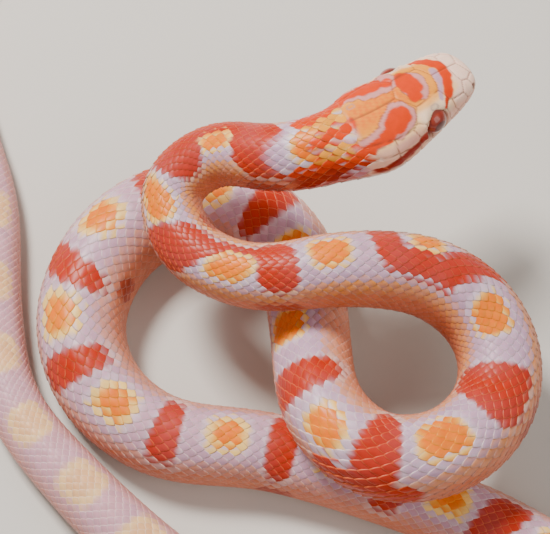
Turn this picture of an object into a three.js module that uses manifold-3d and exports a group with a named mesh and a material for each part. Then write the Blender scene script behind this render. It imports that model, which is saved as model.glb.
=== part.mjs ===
// A young corn snake at rest in two stacked loops, head raised. Millimetres, +Z up, +X right, +Y away.
// The whole animal follows one path from the snout to the tip of the tail. Every place on it is given by
// s, the distance from the snout along the path, by y, across to the animal's left, and by z, up its back.
import * as THREE from "three";
import { mergeVertices } from "three/addons/utils/BufferGeometryUtils.js";
import Module from "manifold-3d";

const wasm = await Module();
wasm.setup();

// Driving dimensions.
const GAP = 0.3; // between neighbouring lengths, and between an eye and its socket
const HEAD_END = 28;
const VENT = 532;
const PATH_STEP = 6;
const EASED_SHARE = 0.99; // easing cuts the corners of the path and so shortens it a little
const CENTRE = { x: -3.23, y: 6.08 }; // middle of the space the whole animal takes up
const HEAD_TILT = THREE.MathUtils.degToRad(6); // the crown leans to the animal's left
const UPRIGHT = [24, 46]; // where the neck turns upright again
const LANDING = [200, 218]; // where the body comes down to the floor
const BACK_RISE = 0.97; // height of the back above the path, as a share of the half width
const BELLY_DROP = 0.86; // depth of the belly below the path, as a share of the half width
const FLOOR_SINK = 0.12; // how far a lying belly is pressed flat
const ROUND_BACK = 0.97; // power of the section's outline: 1 is an ellipse, less is squarer
const ROUND_BELLY = 0.82;
const FLAT_BELLY = 1.1; // the outline is drawn this much too deep and cut flat at the belly's depth
const SIDES = 16;
const RING_PITCH = 0.5; // of the half width: one ring for each belly plate
const SHORTEST_PITCH = 1.5;
const END_MARGIN = 0.5; // no ring lies nearer than this to the end of a length
const TAIL_TIP = 0.7; // length of the cone that closes the tail
const CURVE_DIVISIONS = 4000;
const WELD = 1e-4; // points nearer than this are one

// The path: the raised loops give x, y and z, and the stretches that lie on the floor give x and y.
const RAISED = [
  [32.1, 30.6, 35.2], // snout
  [13.7, 16.6, 35.5], // nape
  [1, 14, 33],
  [-10.5, 18, 27.5],
  [-18, 13, 24], // neck loop
  [-15, 2.5, 23],
  [-3.5, -3.5, 23.5],
  [12.5, -2, 24], // crosses its own body
  [28, -2.5, 20],
  [37, -10.5, 16.5], // right loop
  [37, -22.5, 16.5],
  [28, -32.5, 19],
  [16, -33.5, 20], // lies on its own body
  [8, -25, 18.2],
  [6, -8.5, 12],
];
const LYING = [
  [4, 7.5],
  [-4.5, 17], // behind the neck
  [-18, 18.5],
  [-29, 11],
  [-34.5, -3], // left coil
  [-31, -16.2],
  [-20, -25.3],
  [-1, -28],
  [19.5, -34.5],
  [40.5, -43.5],
  [51.5, -52.5], // near loop
  [49.5, -62.5],
  [37, -68],
  [20.5, -66.5],
  [0, -59],
  [-17.3, -48.5],
  [-35, -32.3],
  [-46.2, -18], // beside the left coil
  [-50.2, -0.5],
  [-52, 20.5],
  [-58.5, 42.5],
  [-61, 60],
  [-55.5, 75],
  [-43.5, 84],
  [-28.5, 85.5], // tip of the tail
];

// Half width of neck, body and tail at distances from the snout.
const HALF_WIDTH = [
  [HEAD_END, 6.0],
  [40, 5.5],
  [60, 5.2],
  [80, 5.45],
  [100, 6.3],
  [120, 6.9],
  [160, 6.95],
  [190, 6.85],
  [225, 7.9],
  [242, 8.15],
  [262, 8.0],
  [300, 6.85],
  [345, 6.2],
  [400, 5.75],
  [465, 5.55],
  [495, 4.9],
  [VENT, 4.3],
  [554, 3.6],
  [574, 2.75],
  [594, 1.8],
  [608, 1.05],
  [620, 0.5],
];

// The head: distance from the snout, half width, height of the crown and depth of the chin.
const HEAD = [
  [0.25, 2.3, 1.1, 1.1],
  [1, 3.9, 1.9, 1.9],
  [2.5, 5.0, 2.7, 2.7],
  [5, 5.8, 3.5, 3.4],
  [7.5, 6.25, 4.05, 3.9],
  [10, 6.55, 4.4, 4.2],
  [13, 7.0, 4.6, 4.4],
  [16, 7.7, 4.75, 4.6],
  [19.5, 8.2, 4.9, 4.8],
  [22, 8.0, 5.05, 4.85],
  [25, 6.9, 5.25, 4.9],
  [HEAD_END, 6.0, 6.0 * BACK_RISE, 6.0 * BELLY_DROP],
];
const HEAD_SIDES = 28;
const HEAD_PITCH = 0.9;
const SNOUT_RINGS = [0.25, 0.6];
const EYE = { s: 12.0, y: 5.0, z: 0.9, radius: 2.5 };
const NOSTRIL = { s: 2.0, y: 4.55, z: 0.6, radius: 0.42 };
const BALL = { sides: 18, rings: 12 };
const MOUTH = { corner: 21.5, front: -0.9, sag: 1.6 };
const LIP = 0.97; // the lower jaw closes this much narrower, inside the upper lip
const JAW_BLOCK = { front: -3, bottom: -12, halfWidth: 15, steps: 16 };

// Where neck, body and tail are parted: each length bends little enough to keep one plain outline.
const LENGTH_ENDS = {
  neck: [46, 58, 70, 88],
  body: [112, 132, 150, 170, 194, 218, 240, 262, 284, 312, 342, 366, 388, 412, 450, 490, VENT],
  tail: [570, 597, Infinity],
};

// A smooth curve through stations: each is a distance and one value, or more, picked by column.
function profile(stations, column = 1) {
  const xs = stations.map((row) => row[0]);
  const ys = stations.map((row) => row[column]);
  const slope = (i) => {
    const a = Math.max(i - 1, 0);
    const b = Math.min(i + 1, xs.length - 1);
    return (ys[b] - ys[a]) / (xs[b] - xs[a]);
  };
  return (x) => {
    if (x <= xs[0]) return ys[0];
    if (x >= xs.at(-1)) return ys.at(-1);
    const i = xs.findIndex((v) => v > x) - 1;
    const step = xs[i + 1] - xs[i];
    const t = (x - xs[i]) / step;
    const rise = (3 - 2 * t) * t * t;
    const bend = step * t * (1 - t);
    return ys[i] * (1 - rise) + ys[i + 1] * rise + bend * (slope(i) * (1 - t) - slope(i + 1) * t);
  };
}

const halfWidthAt = profile(HALF_WIDTH);

// The path: a curve through the points above, then eased by a cubic spline over even steps along it, so
// that it never turns more sharply than the body can.
class EasedCurve extends THREE.Curve {
  constructor(points) {
    super();
    this.points = points;
    this.arcLengthDivisions = CURVE_DIVISIONS;
  }
  getPoint(t, target = new THREE.Vector3()) {
    const last = this.points.length - 1;
    const at = Math.min(t, 1) * last;
    const i = Math.min(Math.floor(at), last - 1);
    const x = at - i;
    const weights = [(1 - x) ** 3, 3 * x ** 3 - 6 * x * x + 4, 1 + 3 * x + 3 * x * x - 3 * x ** 3, x ** 3];
    target.set(0, 0, 0);
    weights.forEach((weight, k) => target.addScaledVector(this.pointOrBeyond(i + k - 1), weight / 6));
    return target;
  }
  pointOrBeyond(i) {
    const last = this.points.length - 1;
    if (i < 0) return this.points[0].clone().multiplyScalar(2).sub(this.points[1]);
    if (i > last) return this.points[last].clone().multiplyScalar(2).sub(this.points[last - 1]);
    return this.points[i];
  }
}
function lyingHeight(s) {
  return halfWidthAt(s) * BELLY_DROP - FLOOR_SINK;
}
function makePath() {
  const draft = RAISED.map((p) => new THREE.Vector3(...p));
  let s = draft.reduce((sum, p, i) => sum + (i ? p.distanceTo(draft[i - 1]) : 0), 0);
  for (const [x, y] of LYING) {
    const point = new THREE.Vector3(x, y, lyingHeight(s));
    s += point.distanceTo(draft.at(-1));
    draft.push(point);
  }
  const through = new THREE.CatmullRomCurve3(draft, false, "centripetal");
  through.arcLengthDivisions = CURVE_DIVISIONS;
  const steps = Math.round(through.getLength() / PATH_STEP);
  const eased = new EasedCurve(through.getSpacedPoints(steps));
  eased.points.forEach((point, i) => {
    const along = i * PATH_STEP * EASED_SHARE;
    const lying = THREE.MathUtils.smoothstep(along, ...LANDING);
    point.z += lying * (lyingHeight(along) - point.z);
  });
  return { curve: eased, length: eased.getLength() };
}
const { curve, length: TOTAL } = makePath();

// Position and directions on the path: back is up the animal's back, left across it.
function frameAt(s) {
  const u = THREE.MathUtils.clamp(s / TOTAL, 0, 1);
  const point = curve.getPointAt(u);
  const tangent = curve.getTangentAt(u);
  const back = new THREE.Vector3(0, 0, 1).addScaledVector(tangent, -tangent.z).normalize();
  back.applyAxisAngle(tangent, HEAD_TILT * (1 - THREE.MathUtils.smoothstep(s, ...UPRIGHT)));
  const left = new THREE.Vector3().crossVectors(tangent, back);
  return { point, back, left };
}
function place(s, y, z) {
  const { point, back, left } = frameAt(s);
  const p = point.clone().addScaledVector(left, y).addScaledVector(back, z);
  return p.set(p.x - CENTRE.x, p.y - CENTRE.y, Math.max(p.z, 0));
}

// A point of the cross section at an angle from the middle of the back: round above, flatter below.
function sectionPoint(angle, halfWidth, rise, drop) {
  const c = Math.cos(angle);
  const n = Math.sin(angle);
  const power = c < 0 ? ROUND_BELLY : ROUND_BACK;
  const y = Math.sign(n) * Math.abs(n) ** power * halfWidth;
  const z = c < 0 ? -drop * Math.min(FLAT_BELLY * (-c) ** power, 1) : rise * c ** power;
  return [y, z];
}
function bodyPoint(s, angle) {
  const w = halfWidthAt(s);
  return sectionPoint(angle, w, w * BACK_RISE, w * BELLY_DROP);
}
const headWidthAt = profile(HEAD, 1);
const headRiseAt = profile(HEAD, 2);
const headDropAt = profile(HEAD, 3);
function headPoint(s, angle) {
  return sectionPoint(angle, headWidthAt(s), headRiseAt(s), headDropAt(s));
}

// A closed surface from rings of [s, y, z] rows, with a middle point at each end.
function loft(rings, first, last) {
  const sides = rings[0].length;
  const rows = [first, ...rings.flat(), last];
  const faces = [];
  const at = (ring, side) => 1 + ring * sides + (side % sides);
  for (let j = 0; j < sides; j++) {
    faces.push(0, at(0, j), at(0, j + 1));
    faces.push(rows.length - 1, at(rings.length - 1, j + 1), at(rings.length - 1, j));
    for (let i = 0; i + 1 < rings.length; i++) {
      faces.push(at(i, j), at(i + 1, j), at(i + 1, j + 1));
      faces.push(at(i, j), at(i + 1, j + 1), at(i, j + 1));
    }
  }
  const geometry = new THREE.BufferGeometry();
  geometry.setAttribute("position", new THREE.Float32BufferAttribute(rows.flat(), 3));
  geometry.setIndex(faces);
  return geometry;
}

function solidOf(geometry) {
  const bare = geometry.clone();
  bare.deleteAttribute("normal");
  bare.deleteAttribute("uv");
  const merged = mergeVertices(bare, WELD);
  return new wasm.Manifold(
    new wasm.Mesh({
      numProp: 3,
      vertProperties: new Float32Array(merged.attributes.position.array),
      triVerts: new Uint32Array(merged.index.array),
    }),
  );
}
function largest(solid) {
  return solid.decompose().sort((a, b) => b.volume() - a.volume())[0];
}
function geometryOf(solid) {
  const mesh = solid.getMesh();
  const geometry = new THREE.BufferGeometry();
  geometry.setAttribute("position", new THREE.BufferAttribute(mesh.vertProperties, 3));
  geometry.setIndex(new THREE.BufferAttribute(mesh.triVerts, 1));
  return geometry;
}

// Bends a straight piece, whose axes are s, y and z, onto the path. Since y is the animal's left, this
// mirrors the piece, and its triangles are turned round to face outwards again.
function bend(geometry) {
  const position = geometry.attributes.position;
  const index = geometry.index.array;
  for (let i = 0; i < index.length; i += 3) {
    [index[i], index[i + 1]] = [index[i + 1], index[i]];
  }
  for (let i = 0; i < position.count; i++) {
    const p = place(position.getX(i), position.getY(i), position.getZ(i));
    position.setXYZ(i, p.x, p.y, p.z);
  }
  geometry.computeVertexNormals();
  return geometry;
}

const ringAngles = Array.from({ length: SIDES }, (_, j) => (j * 2 * Math.PI) / SIDES);

function ringStations() {
  const stations = [HEAD_END];
  while (stations.at(-1) < TOTAL) {
    const s = stations.at(-1);
    stations.push(s + Math.max(RING_PITCH * halfWidthAt(s), SHORTEST_PITCH));
  }
  return stations;
}
const allStations = ringStations();

function bodyLength(start, end) {
  const from = start + GAP / 2;
  const to = Math.min(end - GAP / 2, TOTAL - TAIL_TIP);
  const inner = allStations.filter((s) => s > from + END_MARGIN && s < to - END_MARGIN);
  const rings = [from, ...inner, to].map((s) =>
    ringAngles.map((angle) => [s, ...bodyPoint(s, angle)]),
  );
  const tipAt = end === Infinity ? TOTAL : to;
  return bend(loft(rings, [from, 0, 0], [tipAt, 0, 0]));
}

function headShape() {
  const stations = [...SNOUT_RINGS];
  for (let s = 1; s < HEAD_END - GAP; s += HEAD_PITCH) stations.push(s);
  stations.push(HEAD_END - GAP / 2);
  const rings = stations.map((s) =>
    Array.from({ length: HEAD_SIDES }, (_, j) => [s, ...headPoint(s, (j * 2 * Math.PI) / HEAD_SIDES)]),
  );
  return solidOf(loft(rings, [0, 0, 0], [HEAD_END - GAP / 2, 0, 0]));
}

function ball({ s, y, z, radius }, side, grow = 0) {
  const geometry = new THREE.SphereGeometry(radius + grow, BALL.sides, BALL.rings);
  geometry.translate(s, y * side, z);
  return geometry;
}

// The block below the line of the mouth, from the chin to the corner of the jaw.
function jawBlock(clearance) {
  const shape = new THREE.Shape();
  const { front, bottom, halfWidth, steps } = JAW_BLOCK;
  const back = MOUTH.corner + clearance;
  const heightAt = (s) => MOUTH.front - MOUTH.sag * Math.sin((Math.PI * Math.max(s, 0)) / MOUTH.corner);
  shape.moveTo(front, bottom);
  shape.lineTo(back, bottom);
  for (let k = 0; k <= steps; k++) {
    const s = back + ((front - back) * k) / steps;
    shape.lineTo(s, heightAt(s) + clearance);
  }
  shape.closePath();
  const block = new THREE.ExtrudeGeometry(shape, { depth: 2 * halfWidth, bevelEnabled: false });
  block.rotateX(Math.PI / 2);
  block.translate(0, halfWidth, 0);
  return solidOf(block);
}

function makeHead() {
  const whole = headShape();
  const cut = whole.subtract(jawBlock(GAP));
  const sockets = [1, -1].map((side) => solidOf(ball(EYE, side, GAP)));
  const nostrils = [1, -1].map((side) => solidOf(ball(NOSTRIL, side)));
  return [...sockets, ...nostrils].reduce((solid, hole) => solid.subtract(hole), cut);
}
function makeJaw() {
  const narrow = solidOf(geometryOf(headShape()).scale(1, LIP, 1));
  return narrow.intersect(jawBlock(0));
}

const flesh = (color, roughness = 0.45) => new THREE.MeshStandardMaterial({ color, roughness, metalness: 0 });
const COLOURS = {
  head: flesh(0xe8904a),
  jaw: flesh(0xf0d8c4),
  neck: flesh(0xd9653a),
  body: flesh(0xe39a78),
  tail: flesh(0xddb8b8),
  eye: new THREE.MeshStandardMaterial({ color: 0xb8402a, roughness: 0.12, metalness: 0 }),
};

const snake = new THREE.Group();
function add(name, geometry, material) {
  const mesh = new THREE.Mesh(geometry, material);
  mesh.name = name;
  snake.add(mesh);
}

add("head", bend(geometryOf(largest(makeHead()))), COLOURS.head);
add("lower_jaw", bend(geometryOf(largest(makeJaw()))), COLOURS.jaw);
add("eye_left", bend(geometryOf(solidOf(ball(EYE, 1)))), COLOURS.eye);
add("eye_right", bend(geometryOf(solidOf(ball(EYE, -1)))), COLOURS.eye);
let start = HEAD_END;
for (const [part, ends] of Object.entries(LENGTH_ENDS)) {
  ends.forEach((end, i) => {
    add(`${part}_${String(i + 1).padStart(2, "0")}`, bodyLength(start, end), COLOURS[part]);
    start = end;
  });
}

export default snake;
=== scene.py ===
# A young albino corn snake at rest in two stacked loops, head raised.
# Lengths on the animal are in millimetres; every mesh is in metres. A place on it is given by s, the
# distance from the snout along its path, and by an angle round it, from the middle of the back to its left.
import math

import bmesh
import bpy
import numpy as np
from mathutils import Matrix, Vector


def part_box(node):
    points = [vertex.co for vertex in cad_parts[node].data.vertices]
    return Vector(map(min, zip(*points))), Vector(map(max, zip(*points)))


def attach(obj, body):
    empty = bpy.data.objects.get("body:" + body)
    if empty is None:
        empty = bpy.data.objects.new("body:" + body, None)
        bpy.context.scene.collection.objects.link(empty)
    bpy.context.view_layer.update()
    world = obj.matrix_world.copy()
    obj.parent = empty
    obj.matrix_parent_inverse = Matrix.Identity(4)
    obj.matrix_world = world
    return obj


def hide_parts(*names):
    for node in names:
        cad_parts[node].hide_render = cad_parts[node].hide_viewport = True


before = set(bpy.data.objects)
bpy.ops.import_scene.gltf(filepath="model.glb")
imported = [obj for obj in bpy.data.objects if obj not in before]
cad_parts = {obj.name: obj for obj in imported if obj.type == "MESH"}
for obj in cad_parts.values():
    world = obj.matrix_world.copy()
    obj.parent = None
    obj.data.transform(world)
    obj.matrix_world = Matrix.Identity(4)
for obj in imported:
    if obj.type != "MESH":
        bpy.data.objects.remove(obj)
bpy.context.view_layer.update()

MM = 0.001
SEED = 11

# The path, as the solids follow it.
RAISED = [
    (32.1, 30.6, 35.2),
    (13.7, 16.6, 35.5),
    (1, 14, 33),
    (-10.5, 18, 27.5),
    (-18, 13, 24),
    (-15, 2.5, 23),
    (-3.5, -3.5, 23.5),
    (12.5, -2, 24),
    (28, -2.5, 20),
    (37, -10.5, 16.5),
    (37, -22.5, 16.5),
    (28, -32.5, 19),
    (16, -33.5, 20),
    (8, -25, 18.2),
    (6, -8.5, 12),
]
LYING = [
    (4, 7.5),
    (-4.5, 17),
    (-18, 18.5),
    (-29, 11),
    (-34.5, -3),
    (-31, -16.2),
    (-20, -25.3),
    (-1, -28),
    (19.5, -34.5),
    (40.5, -43.5),
    (51.5, -52.5),
    (49.5, -62.5),
    (37, -68),
    (20.5, -66.5),
    (0, -59),
    (-17.3, -48.5),
    (-35, -32.3),
    (-46.2, -18),
    (-50.2, -0.5),
    (-52, 20.5),
    (-58.5, 42.5),
    (-61, 60),
    (-55.5, 75),
    (-43.5, 84),
    (-28.5, 85.5),
]
CENTRE = (-3.23, 6.08)
PATH_STEP = 6
CURVE_STEPS = 60
EASED_SHARE = 0.99
LANDING = (200, 218)
HEAD_TILT = math.radians(6)
UPRIGHT = (24, 46)
HEAD_END = 28
VENT = 532
BACK_RISE = 0.97
BELLY_DROP = 0.86
FLOOR_SINK = 0.12
ROUND_BACK = 0.97
ROUND_BELLY = 0.82
FLAT_BELLY = 1.1
HALF_WIDTH = [
    (HEAD_END, 6.0),
    (40, 5.5),
    (60, 5.2),
    (80, 5.45),
    (100, 6.3),
    (120, 6.9),
    (160, 6.95),
    (190, 6.85),
    (225, 7.9),
    (242, 8.15),
    (262, 8.0),
    (300, 6.85),
    (345, 6.2),
    (400, 5.75),
    (465, 5.55),
    (495, 4.9),
    (VENT, 4.3),
    (554, 3.6),
    (574, 2.75),
    (594, 1.8),
    (608, 1.05),
    (620, 0.5),
]
# The head: distance from the snout, half width, height of the crown and depth of the chin.
HEAD = [
    (0, 0.4, 0.3, 0.3),
    (0.25, 2.3, 1.1, 1.1),
    (1, 3.9, 1.9, 1.9),
    (2.5, 5.0, 2.7, 2.7),
    (5, 5.8, 3.5, 3.4),
    (7.5, 6.25, 4.05, 3.9),
    (10, 6.55, 4.4, 4.2),
    (13, 7.0, 4.6, 4.4),
    (16, 7.7, 4.75, 4.6),
    (19.5, 8.2, 4.9, 4.8),
    (22, 8.0, 5.05, 4.85),
    (25, 6.9, 5.25, 4.9),
    (HEAD_END, 6.0, 6.0 * BACK_RISE, 6.0 * BELLY_DROP),
]
EYE = {"s": 12.0, "z": 0.9, "radius": 2.5}

# Colours of the skin, as seen.
CREAM = "#F5C878"
YELLOW = "#EE9208"
ORANGE = "#EC6A00"
RED = "#B42600"
DEEP_RED = "#901600"
LAVENDER = "#BC99B4"
PINK = "#D8948C"
CONTOUR = "#85412A"
PEACH = "#D58440"
SALMON = "#D27E62"
RUST = "#BE5630"
PALE_EDGE = "#EBE2EA"
MUZZLE = "#FFD6C2"
CHEEK = "#F0B8A2"
ROSE = "#D58F8C"
HEAD_CREAM = "#FFCF92"
HEAD_RED = "#D83A00"
DUSK = "#A98C8A"
SHADOW = "#5A2A22"
RED_EDGE = "#D86A40"
IVORY = "#F6E6DC"
GOLD_EDGE = "#C07028"
IRIS = "#8A2010"
IRIS_STREAK = "#A84424"
PUPIL = "#5A0A04"


def linear(colour):
    """The linear light of a colour that is written as it is seen."""
    parts = [int(colour[i : i + 2], 16) / 255 for i in (1, 3, 5)]
    return np.array([p / 12.92 if p < 0.04045 else ((p + 0.055) / 1.055) ** 2.4 for p in parts])


def profile(stations, column=1):
    """A smooth curve through stations, each a distance and its values."""
    xs = np.array([row[0] for row in stations], float)
    ys = np.array([row[column] for row in stations], float)
    before = np.maximum(np.arange(len(xs)) - 1, 0)
    after = np.minimum(np.arange(len(xs)) + 1, len(xs) - 1)
    slopes = (ys[after] - ys[before]) / (xs[after] - xs[before])

    def value(x):
        x = np.clip(np.asarray(x, float), xs[0], xs[-1])
        i = np.clip(np.searchsorted(xs, x, side="right") - 1, 0, len(xs) - 2)
        step = xs[i + 1] - xs[i]
        t = (x - xs[i]) / step
        rise = (3 - 2 * t) * t * t
        bend = step * t * (1 - t)
        return ys[i] * (1 - rise) + ys[i + 1] * rise + bend * (slopes[i] * (1 - t) - slopes[i + 1] * t)

    return value


def smooth(edge0, edge1, x):
    """A soft step from 0 at the first edge to 1 at the second."""
    t = np.clip((np.asarray(x, float) - edge0) / (edge1 - edge0), 0, 1)
    return t * t * (3 - 2 * t)


half_width = profile(HALF_WIDTH)
head_width = profile(HEAD, 1)
head_rise = profile(HEAD, 2)
head_drop = profile(HEAD, 3)


def with_ends(points):
    """The points with one more beyond each end, for a curve that reaches both."""
    return np.vstack([2 * points[0] - points[1], points, 2 * points[-1] - points[-2]])


def through_points(points, fine=CURVE_STEPS):
    """A centripetal curve through the points."""
    rows = []
    p = with_ends(points)
    x = (np.arange(fine) / fine)[:, None]
    for p0, p1, p2, p3 in zip(p, p[1:], p[2:], p[3:]):
        d0, d1, d2 = (np.linalg.norm(b - a) ** 0.5 for a, b in ((p0, p1), (p1, p2), (p2, p3)))
        t1 = ((p1 - p0) / d0 - (p2 - p0) / (d0 + d1) + (p2 - p1) / d1) * d1
        t2 = ((p2 - p1) / d1 - (p3 - p1) / (d1 + d2) + (p3 - p2) / d2) * d1
        rise = -3 * p1 + 3 * p2 - 2 * t1 - t2
        rest = 2 * p1 - 2 * p2 + t1 + t2
        rows.append(p1 + t1 * x + rise * x**2 + rest * x**3)
    return np.vstack([*rows, points[-1:]])


def eased(points, fine=CURVE_STEPS):
    """A cubic spline that eases the corners of the points."""
    rows = []
    x = (np.arange(fine) / fine)[:, None]
    weights = ((1 - x) ** 3, 3 * x**3 - 6 * x**2 + 4, 1 + 3 * x + 3 * x**2 - 3 * x**3, x**3)
    p = with_ends(points)
    for four in zip(p, p[1:], p[2:], p[3:]):
        rows.append(sum(w * q for w, q in zip(weights, four)) / 6)
    return np.vstack([*rows, points[-1:]])


def distances(points):
    """How far along the line each of its points lies."""
    return np.r_[0, np.cumsum(np.linalg.norm(np.diff(points, axis=0), axis=1))]


def lying_height(s):
    """Height of the middle line where the belly lies on the floor."""
    return half_width(s) * BELLY_DROP - FLOOR_SINK


class Path:
    """The animal's middle line, with the way to its tail, up its back and to its left."""

    def __init__(self):
        draft = [np.array(p, float) for p in RAISED]
        s = distances(np.array(draft))[-1]
        for x, y in LYING:
            point = np.array([x, y, float(lying_height(s))])
            s += np.linalg.norm(point - draft[-1])
            draft.append(point)
        dense = through_points(np.array(draft))
        along = distances(dense)
        count = round(along[-1] / PATH_STEP)
        even = np.linspace(0, along[-1], count + 1)
        points = np.stack([np.interp(even, along, dense[:, k]) for k in range(3)], axis=1)
        own = np.arange(count + 1) * PATH_STEP * EASED_SHARE
        points[:, 2] += smooth(*LANDING, own) * (lying_height(own) - points[:, 2])
        self.points = eased(points)
        self.along = distances(self.points)
        self.length = self.along[-1]
        self.points[:, :2] -= CENTRE
        tail = np.gradient(self.points, self.along, axis=0)
        self.tail = tail / np.linalg.norm(tail, axis=1)[:, None]
        back = np.array([0, 0, 1.0]) - self.tail * self.tail[:, 2:]
        back = back / np.linalg.norm(back, axis=1)[:, None]
        left = np.cross(self.tail, back)
        tilt = (HEAD_TILT * (1 - smooth(*UPRIGHT, self.along)))[:, None]
        self.back = back * np.cos(tilt) + left * np.sin(tilt)
        self.left = left * np.cos(tilt) - back * np.sin(tilt)

    def at(self, s, rows):
        """One of the path's tables, read at these distances."""
        return np.stack([np.interp(s, self.along, rows[:, k]) for k in range(3)], axis=-1)

    def place(self, s, y, z):
        """A point in metres from its place on the animal, and never below the floor."""
        y = np.asarray(y)[..., None]
        z = np.asarray(z)[..., None]
        p = self.at(s, self.points) + y * self.at(s, self.left) + z * self.at(s, self.back)
        p[..., 2] = np.maximum(p[..., 2], 0)
        return p * MM


path = Path()


def section(s, angle):
    """Across and up from the middle line to the skin: round above, flatter below."""
    head = s < HEAD_END
    width = np.where(head, head_width(s), half_width(s))
    rise = np.where(head, head_rise(s), half_width(s) * BACK_RISE)
    drop = np.where(head, head_drop(s), half_width(s) * BELLY_DROP)
    up = np.cos(angle)
    across = np.sin(angle)
    power = np.where(up < 0, ROUND_BELLY, ROUND_BACK)
    y = np.sign(across) * np.abs(across) ** power * width
    below = -drop * np.minimum(FLAT_BELLY * np.abs(up) ** power, 1)
    z = np.where(up < 0, below, rise * np.abs(up) ** power)
    return y, z


def skin_at(s, angle):
    """Places on the skin."""
    return path.place(s, *section(s, angle))


PROBE_ALONG = 0.4  # the ways along and round the skin are measured over these steps
PROBE_ROUND = 0.05


def unit(rows):
    """Each row made one long."""
    return rows / np.maximum(np.linalg.norm(rows, axis=-1), 1e-12)[..., None]


def skin_frame(s, angle):
    """Place, way to the tail, way out and stretch along the body, at places on the skin."""
    here = skin_at(s, angle)
    tail = skin_at(s + PROBE_ALONG, angle) - skin_at(s - PROBE_ALONG, angle)
    left = skin_at(s, angle + PROBE_ROUND) - skin_at(s, angle - PROBE_ROUND)
    stretch = np.linalg.norm(tail, axis=-1) / (2 * PROBE_ALONG * MM)
    return here, unit(tail), unit(np.cross(left, tail)), stretch


# Markings: blotches on the back, each with its distance, angle, half length, half width round and slant.
# Angles are in degrees, and slant is how far the left end lies behind the right one, in millimetres.
SADDLES = [
    (38.3, -10, 4.5, 62, 2.5),
    (53.2, 16, 3.9, 54, 0.5),
    (69.6, 36, 3.9, 56, -2),
    (86.4, 4, 3.1, 46, 0),
    (140.5, 10, 5.2, 54, 0),
    (163.7, -12, 2.7, 58, 0),
    (179.4, -32, 2.5, 62, 0),
    (200.0, -20, 2.6, 56, 0),
    (220.6, 4, 2.7, 50, 0),
    (240.5, 12, 2.6, 50, -1),
    (260.2, 24, 2.4, 50, -2.6),
    (276.9, 24, 2.4, 48, -1),
    (295.9, 6, 2.2, 46, 0),
    (315.5, 6, 2.4, 50, 0),
    (334.4, 4, 2.6, 48, 0),
    (353.4, 0, 3.2, 44, -2.5),
    (372.5, 0, 2.6, 48, 0),
    (390.5, 0, 2.5, 48, 0),
    (408.5, 0, 2.5, 48, 0),
    (426.0, 0, 2.4, 46, 0),
    (443.0, 0, 2.3, 46, 0),
]
# Saddles that run together: each a run between two places, by distance and angle, and its reach.
SADDLE_RUNS = [
    (42, 26, 52, 44, 2.7),
    (73, -2, 84, -16, 1.5),
    (102.9, -64, 103.7, -4, 2.1),
    (104.6, 6, 113.4, 12, 2.4),
    (113.6, 8, 119.4, -62, 2.3),
    (160.5, -84, 168, -80, 2.6),
]
BUTTONS = [
    (46.3, -6, 2.9, 20, 1.5),
    (61.7, 30, 3.5, 34, -2),
    (78.8, 18, 3.5, 28, -2),
    (94.8, -8, 3.3, 26, 0),
    (109.6, -35, 2.5, 21, 0),
    (124.6, 6, 4.6, 26, 0),
    (154.4, 2, 4.3, 28, 0),
    (171.3, -26, 3.2, 27, 0),
    (190.4, -40, 3.7, 32, 0),
    (210.5, -8, 3.7, 30, 0),
    (230.6, 4, 3.7, 28, 0),
    (250.6, 20, 3.9, 27, 0),
    (268.2, 24, 3.9, 28, 0),
    (286.2, 8, 3.8, 27, 0),
    (306.0, -1, 3.6, 27, 0),
    (325.0, 0, 3.6, 28, 0),
    (344.4, 0, 3.6, 28, 0),
    (363.4, 0, 3.6, 28, 0),
    (381.6, 0, 3.5, 28, 0),
    (399.6, 0, 3.4, 28, 0),
    (417.2, 0, 3.4, 28, 0),
    (434.6, 0, 3.3, 28, 0),
]
# The middle of the markings wanders from the middle of the back: distance and angle.
MIDDLE = [
    (30, -8),
    (46, 0),
    (62, 24),
    (80, 14),
    (95, -2),
    (118, -4),
    (140, 8),
    (155, 2),
    (172, -24),
    (190, -34),
    (210, -8),
    (230, 4),
    (250, 18),
    (270, 22),
    (286, 8),
    (306, 0),
    (620, 0),
]
PALE_FROM = (440, 462)  # behind this the saddles fade to pale spots
PALE_SPOTS = [(460 + 14.4 * k, 4.0, 3.6, 40, 0) for k in range(11)]
SIDE_ANGLE = 92
SIDE_SPOT = (3.4, 16, 0)
SQUARENESS = 3.2  # of a blotch's corners: 2 is an oval
UNEVEN = 0.09
SLANT_SPAN = 60  # a blotch's slant is given over this many degrees
FAR = 99.0
VANISH = 40  # taken off the depth of a marking where it fades out

# Stretches of the body, by distance, and parts of its girth, by degrees: where each begins and is full.
FORE = (230, 120)
COILED = (200, 235)
HIGH_FLANK = (38, 52)
LOW_FLANK = (58, 76)
BELLY_FROM = (116, 130)
CREAM_EDGE = 0.7  # the buttons of the coiled stretch have this much more cream round them


def wobble(s, angle, scale, phase):
    """A smooth unevenness between -1 and 1 along and round the body."""
    a = np.sin(s * 1.31 * scale + phase) * np.sin(angle * 3.1 * scale + phase * 1.7)
    b = np.sin(s * 0.77 * scale - angle * 2.3 + phase * 2.9)
    return 0.6 * a + 0.4 * b


def blotch_depth(s, angle, blotches):
    """How deep a place lies inside the nearest blotch, in millimetres: below zero outside."""
    best = np.full(np.shape(s), -FAR)
    degrees = np.degrees(angle)
    for i, (centre, middle, half_length, half_round, slant) in enumerate(blotches):
        off = (degrees - middle + 180) % 360 - 180
        along = (s - centre - slant * off / SLANT_SPAN) / half_length
        across = off / half_round
        radius = (np.abs(along) ** SQUARENESS + np.abs(across) ** SQUARENESS) ** (1 / SQUARENESS)
        uneven = UNEVEN * wobble(s, angle, 1.0, i * 1.3)
        best = np.maximum(best, (1 - radius + uneven) * half_length)
    return best


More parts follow.
